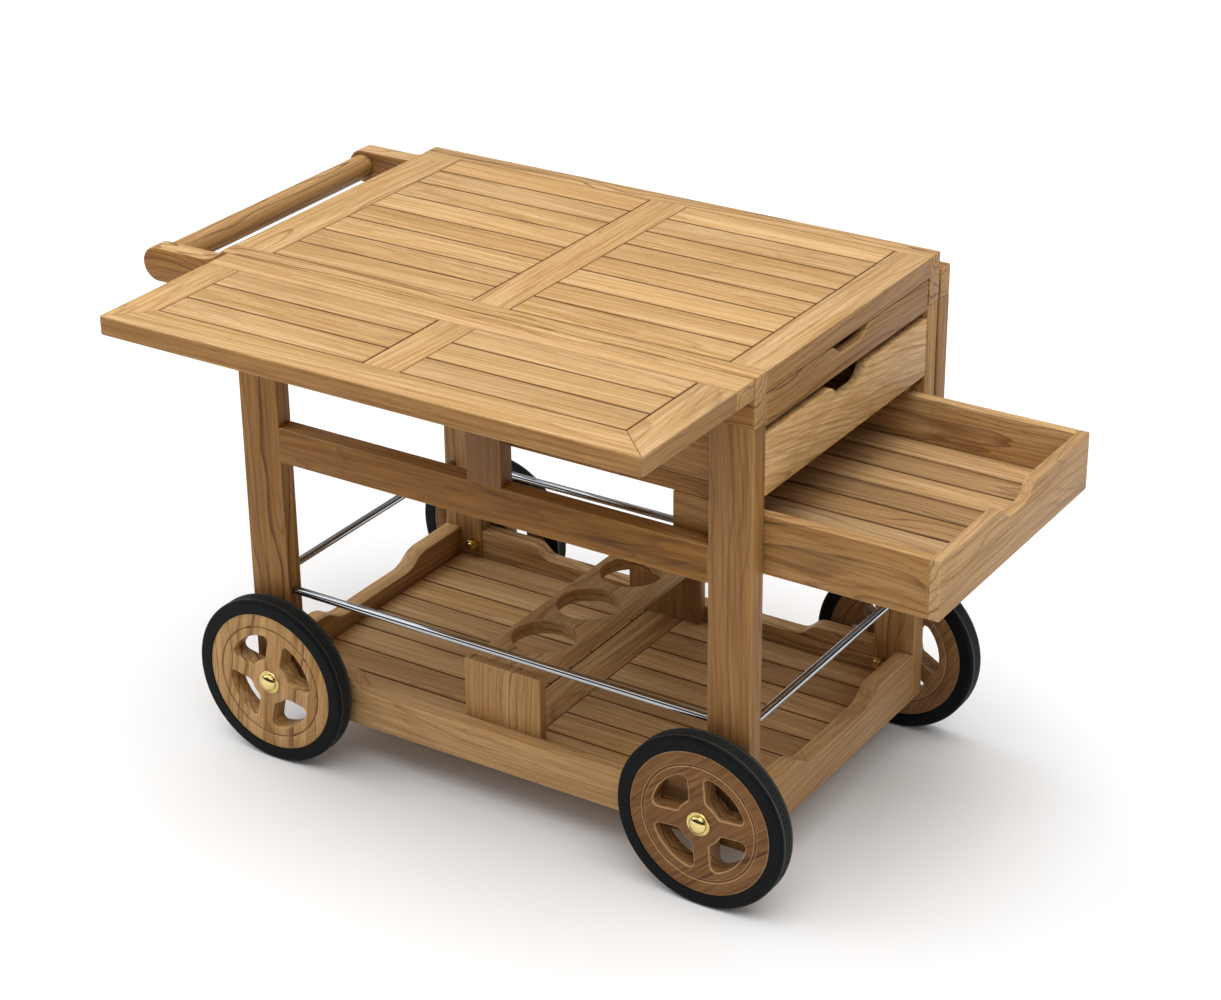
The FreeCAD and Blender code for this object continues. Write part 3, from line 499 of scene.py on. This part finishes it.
def make_wood(node, body, slot):
    """A wooden node with eased edges, where each board has its own grain and depth of colour."""
    look = PLAIN_BOARD | next((LOOKS[start] for start in LOOKS if node.startswith(start)), {})
    draw = random.Random(node)
    # The way that counts as up for the painted top light
    up_in_use = Vector((0, 1, 0) if body == "rear_leaf" else (0, 0, 1))
    shape = node_shape(node)
    grain = shape.verts.layers.float_vector.new("grain")
    board = shape.verts.layers.float_vector.new("board")
    heart = shape.verts.layers.float.new("heart")
    depth = shape.faces.layers.float.new("depth")
    cut = shape.faces.layers.float_vector.new("cut")
    if node in WHEEL_SLANT:
        eased, sunk = ease_wheel(shape, look["edge"])
    else:
        eased, sunk = ease_edges(shape, outer_edges(shape), look["edge"]), set()
    for verts in islands(shape):
        low, high = corners(verts)
        size = high - low
        thin_side = min(range(3), key=lambda i: size[i])
        axes = grain_axes(node, size)
        angle, off_heart = draw.uniform(0, 2 * math.pi), draw.uniform(*FROM_HEART) * MM
        start = Vector((draw.uniform(0, ALONG_LOG), off_heart * math.cos(angle), off_heart * math.sin(angle)))
        lean = (draw.choice((-1, 1)) * look["lean"], draw.choice((-1, 1)) * look["lean"] * draw.random())
        change = draw.uniform(-DEPTH_SPREAD, DEPTH_SPREAD)
        board_depth = min(max(look["depth"] + change * look["vary"], 0), 1)
        greyness, rings = draw.uniform(0, look["grey"]), look["rings"] * draw.uniform(*RING_SPREAD)
        figure = Vector((look["veins"], greyness, rings))
        middle = (low + high) / 2
        faces = set()
        for vert in verts:
            along, across, through = (axis.dot(vert.co - middle) for axis in axes)
            vert[grain] = start + Vector((along, across + lean[0] * along, through + lean[1] * along))
            vert[board] = figure
            vert[heart] = look["heart"]
            faces.update(vert.link_faces)
        for face in faces:
            is_end = abs(face.normal.dot(axes[0])) > FACES_END
            # Painted shade: in a wheel's ring groove, and on the faces of a slat that face a gap
            painted_gap_shade = PAINTED_GROOVE_SHADE * (1 - look["heart"]) if face in sunk else 0.0
            if look["slats"]:
                painted_gap_shade = PAINTED_GAP_SHADE * math.sqrt(max(1 - abs(face.normal[thin_side]), 0))
            # Eased edges are worn paler, with a painted highlight
            rubbed_and_highlit = look["rubbed_and_highlit"] if face in eased and not look["slats"] else 0.0
            face[cut] = Vector((PALE_END * is_end, rubbed_and_highlit, painted_gap_shade))
            # Cut ends are paler in their own colour. Faces that look up are painted paler, as painted light
            # from above
            paler = SHALLOW_END if is_end else look["painted_top_light"] * max(face.normal.dot(up_in_use), 0)
            face[depth] = board_depth * (1 - paler)
    finish_piece(f"{node}_wood", shape, TEAK, body, slot, node)


def make_tyre(node, body, slot):
    """A tyre, dusty on the ribs of its tread and clean in its grooves, so that the grooves show dark as
    painted shade.
    """
    shape = welded_shape(node)
    tread = shape.faces.layers.float.new("tread")
    low, high = corners(shape.verts)
    hub, radius = (low + high) / 2, (high.x - low.x) / 2
    for face in shape.faces:
        lowest = min(math.hypot(v.co.x - hub.x, v.co.z - hub.z) for v in face.verts)
        # Ribs get dust, and the grooves stay clean and dark as painted shade
        face[tread] = float(lowest > radius - RIB_TOP * MM)
    finish_piece(f"{node}_rubber", shape, RUBBER, body, slot, node)


slots = {entry["node"]: entry["material_slot"] for entry in frame["record"]["subparts"]}
for body, nodes in frame["record"]["behaviour"]["bodies"].items():
    for node in nodes:
        if slots[node] in ("teak", "wheel_teak"):
            make_wood(node, body, slots[node])
        elif slots[node] == "tyre":
            make_tyre(node, body, slots[node])
        else:
            finish = ZINC if node == "axle_spacers" else {"brass": BRASS, "steel": STEEL}[slots[node]]
            held = frame["nodes"][node].data.materials
            held.clear()
            held.append(finish)


# Hub fittings, with lengths in millimetres

BOLT_HEAD_RADIUS = 13.5
BOLT_HEAD_HEIGHT = 8.0
BOLT_RADIUS = 6.0
BOLT_CLEARANCE = 0.1
FLANGE_RADIUS = 18.0
# A flange's outline: in from its radius and up from its inner face, then in and down from its outer face.
# That face is sunk by this much at the dome's rim and at the bore
FLANGE_INNER = ((0.3, 0), (0, 0.4))
FLANGE_OUTER = ((0, 0.5), (0.4, 0), (1.4, 0), (2.2, 0.5))
FLANGE_SUNK = (0.3, 0.05)
NUT_EDGE = 0.7
THREAD_PITCH = 1.75
THREAD_DEPTH = 0.8
THREAD_TURNS = 9
# The dome falls by this share of the head's height, and the rest is its rim
DOME_SHARE = 0.94
DOME_STEPS = 12
TURN_STEPS = 48


def turn_piece(shape, profile, foot, outwards, closed=False):
    """Adds a piece turned about an axis. The profile is radius and height above the foot, in millimetres."""
    lie = outwards.to_track_quat("Z", "Y").to_matrix()
    rings = []
    for radius, height in profile:
        count = TURN_STEPS if radius else 1
        angles = [2 * math.pi * step / count for step in range(count)]
        spots = [Vector((radius * math.cos(a), radius * math.sin(a), height)) * MM for a in angles]
        rings.append([shape.verts.new(foot + lie @ spot) for spot in spots])
    pairs = list(zip(rings, rings[1:]))
    if closed:
        pairs.append((rings[-1], rings[0]))
    for near, far in pairs:
        for step in range(TURN_STEPS):
            after = (step + 1) % TURN_STEPS
            ring_corners = (
                near[step % len(near)], near[after % len(near)], far[after % len(far)], far[step % len(far)]
            )
            shape.faces.new(list(dict.fromkeys(ring_corners)))


def make_axle_bolts():
    """The four axle bolts: a polished dome that runs out to a fine rim, and a threaded end."""
    shape = bmesh.new()
    dome = [math.radians(90 * step / DOME_STEPS) for step in range(DOME_STEPS + 1)]
    bolts = node_shape("axle_bolts")
    for verts in islands(bolts):
        low, high = corners(verts)
        outwards = Vector((0, -1 if low.y < 0 and high.y < 0 else 1, 0))
        tip = low.y if outwards.y < 0 else high.y
        length = (high.y - low.y) / MM
        foot = Vector(((low.x + high.x) / 2, tip, (low.z + high.z) / 2))
        profile = [
            (BOLT_HEAD_RADIUS * math.sin(a), BOLT_HEAD_HEIGHT * (math.cos(a) - 1) * DOME_SHARE) for a in dome
        ]
        profile[0] = (0, 0)
        profile += [(BOLT_HEAD_RADIUS, -BOLT_HEAD_HEIGHT), (BOLT_RADIUS, -BOLT_HEAD_HEIGHT)]
        thread_start = length - THREAD_PITCH * (THREAD_TURNS + 0.5)
        root = BOLT_RADIUS - THREAD_DEPTH
        for turn in range(THREAD_TURNS):
            at = thread_start + THREAD_PITCH * turn
            profile += [(BOLT_RADIUS, -at), (root, -at - THREAD_PITCH / 2)]
        profile += [(root, -length), (0, -length)]
        turn_piece(shape, profile, foot, outwards)
    bolts.free()
    bmesh.ops.recalc_face_normals(shape, faces=shape.faces)
    finish_piece("axle_bolts_domed", shape, BRASS, "frame", "brass", "axle_bolts")


def make_hub_flanges():
    """The brass flange under each dome, with a rolled rim."""
    shape = bmesh.new()
    washers = node_shape("hub_washers")
    for verts in islands(washers):
        low, high = corners(verts)
        outwards = Vector((0, -1 if high.y < 0 else 1, 0))
        thick = (high.y - low.y) / MM
        inner = high.y if outwards.y < 0 else low.y
        foot = Vector(((low.x + high.x) / 2, inner, (low.z + high.z) / 2))
        bore = BOLT_RADIUS + BOLT_CLEARANCE
        profile = [(bore, 0)]
        profile += [(FLANGE_RADIUS - inwards, up) for inwards, up in FLANGE_INNER]
        profile += [(FLANGE_RADIUS - inwards, thick - down) for inwards, down in FLANGE_OUTER]
        profile += [(radius, thick - down) for radius, down in zip((BOLT_HEAD_RADIUS, bore), FLANGE_SUNK)]
        turn_piece(shape, profile, foot, outwards, closed=True)
    washers.free()
    bmesh.ops.recalc_face_normals(shape, faces=shape.faces)
    finish_piece("hub_flanges", shape, BRASS, "frame", "brass", "hub_washers")


def make_axle_nuts():
    """Hexagon nuts with chamfered corners."""
    shape = node_shape("axle_nuts")
    ease_edges(shape, outer_edges(shape), NUT_EDGE)
    finish_piece("axle_nuts_chamfered", shape, BRASS, "frame", "brass", "axle_nuts")


make_axle_bolts()
make_hub_flanges()
make_axle_nuts()


# Hinge screws: each plate's node, its body, the way its face looks and the axis across it to its free edge

HINGE_PLATES = (
    ("front_hinge_plates", "frame", Vector((0, -1, 0)), 2),
    ("rear_hinge_plates", "frame", Vector((0, 1, 0)), 2),
    ("front_leaf_hinges", "front_leaf", Vector((0, 0, -1)), 1),
    ("rear_leaf_hinges", "rear_leaf", Vector((0, -1, 0)), 2),
)
PLATE_THICK = 1.6
# Along the hinge and in from the plate's free edge
SCREW_PLACES = ((-21, 7), (0, 14), (21, 7))
# A low countersunk head with a driver's recess, from its middle to its rim
SCREW_HEAD = ((0, -0.6), (1.1, -0.6), (1.5, 0.5), (2.6, 0.45), (3.3, 0.2), (3.5, -0.2))


def make_hinge_screws():
    for node, body, looks, across in HINGE_PLATES:
        shape = bmesh.new()
        plates = node_shape(node)
        normal_axis = max(range(3), key=lambda i: abs(looks[i]))
        for verts in islands(plates):
            low, high = corners(verts)
            face = low if looks[normal_axis] > 0 else high
            for along, inwards in SCREW_PLACES:
                foot = (low + high) / 2
                foot.x += along * MM
                foot[across] = low[across] + inwards * MM
                foot[normal_axis] = face[normal_axis] + looks[normal_axis] * PLATE_THICK * MM
                turn_piece(shape, SCREW_HEAD, foot, looks)
        plates.free()
        bmesh.ops.recalc_face_normals(shape, faces=shape.faces)
        finish_piece(f"{node}_screws", shape, BRASS, body, "brass")


make_hinge_screws()


# Stage: pale floor, soft light from overhead, and the camera at the photograph's angle

# The sky's strength at the horizon and overhead, the walls' own, and how high they stand in it, from 0 to 1
SKY_LOW = 0.08
SKY_HIGH = 1.0
WALL_GLOW = 0.02
WALL_TOP = 0.38
# Each lamp's strength, spread and tilt in degrees
LAMPS = {"overhead": (1.9, 52, (13, 14, 0)), "side": (1.0, 60, (10, -50, 0))}
# The floor's paleness, from 0 to 1, and how far it reaches from the middle, in metres
FLOOR_PALE = 0.83
FLOOR_REACH = 150.0
# The camera, from the vanishing lines of the photograph: angles in degrees, the focal length in pixels of a
# picture this many pixels wide, and the place in metres
CAMERA_TURN = 32.737
CAMERA_TILT = 26.128
CAMERA_ROLL = 0.606
CAMERA_FOCUS = 2846.11
PICTURE_WIDTH = 1221
CAMERA_PLACE = (1.9954, -3.00425, 2.2255)


def make_stage():
    floor_material, surface = new_material("pale_floor")
    surface.inputs["Base Color"].default_value = (FLOOR_PALE, FLOOR_PALE, FLOOR_PALE, 1.0)
    surface.inputs["Roughness"].default_value = 0.9
    surface.inputs["Specular IOR Level"].default_value = 0.0
    mesh = bpy.data.meshes.new("floor")
    ways = ((-1, -1), (1, -1), (1, 1), (-1, 1))
    mesh.from_pydata([(x * FLOOR_REACH, y * FLOOR_REACH, 0) for x, y in ways], [], [(0, 1, 2, 3)])
    mesh.materials.append(floor_material)
    floor = bpy.data.objects.new("floor", mesh)
    scene.collection.objects.link(floor)
    floor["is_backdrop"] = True

    world = bpy.data.worlds.new("studio")
    world.use_nodes = True
    sky = world.node_tree.nodes["Background"]
    sky.inputs["Color"].default_value = (1.0, 1.0, 1.0, 1.0)
    way = add(world, "ShaderNodeTexCoord", {}).outputs["Generated"]
    upwards = add(world, "ShaderNodeSeparateXYZ", {0: way}).outputs[2]
    # Seen itself, the backdrop is white, and gloss mirrors the dark walls of the room below the ceiling
    rays = add(world, "ShaderNodeLightPath", {}).outputs
    ceiling = {"Value": upwards, "To Min": SKY_LOW, "To Max": SKY_HIGH}
    ceiling = add(world, "ShaderNodeMapRange", ceiling).outputs[0]
    walls = {"Value": upwards, "From Min": WALL_TOP, "To Min": WALL_GLOW, "To Max": SKY_HIGH}
    walls = add(world, "ShaderNodeMapRange", walls).outputs[0]
    strength = add(world, "ShaderNodeMix", {0: rays["Is Glossy Ray"], 2: ceiling, 3: walls}).outputs[0]
    strength = calc(world, "MAXIMUM", strength, rays["Is Camera Ray"])
    world.node_tree.links.new(strength, sky.inputs["Strength"])
    scene.world = world

    for name, (power, spread, tilt) in LAMPS.items():
        light = bpy.data.lights.new(name, "SUN")
        light.energy = power
        light.angle = math.radians(spread)
        lamp = bpy.data.objects.new(name, light)
        lamp.rotation_euler = [math.radians(angle) for angle in tilt]
        scene.collection.objects.link(lamp)
    scene.view_settings.view_transform = "Standard"


def make_camera():
    turn, tilt, roll = (math.radians(angle) for angle in (CAMERA_TURN, CAMERA_TILT, CAMERA_ROLL))
    ahead = Vector((-math.sin(turn) * math.cos(tilt), math.cos(turn) * math.cos(tilt), -math.sin(tilt)))
    right = Vector((math.cos(turn), math.sin(turn), 0))
    down = ahead.cross(right)
    across = right * math.cos(roll) + down * math.sin(roll)
    below = down * math.cos(roll) - right * math.sin(roll)
    view = bpy.data.cameras.new("camera")
    view.sensor_width = 36.0
    view.lens = view.sensor_width * CAMERA_FOCUS / PICTURE_WIDTH
    camera = bpy.data.objects.new("camera", view)
    axes = Matrix((across, -below, -ahead)).transposed().to_4x4()
    camera.matrix_world = Matrix.Translation(CAMERA_PLACE) @ axes
    scene.collection.objects.link(camera)
    scene.camera = camera


make_stage()
make_camera()

boxes = {"cad": cad_box, "visual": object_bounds()}
{name: [list(corner) for corner in box] for name, box in boxes.items()}
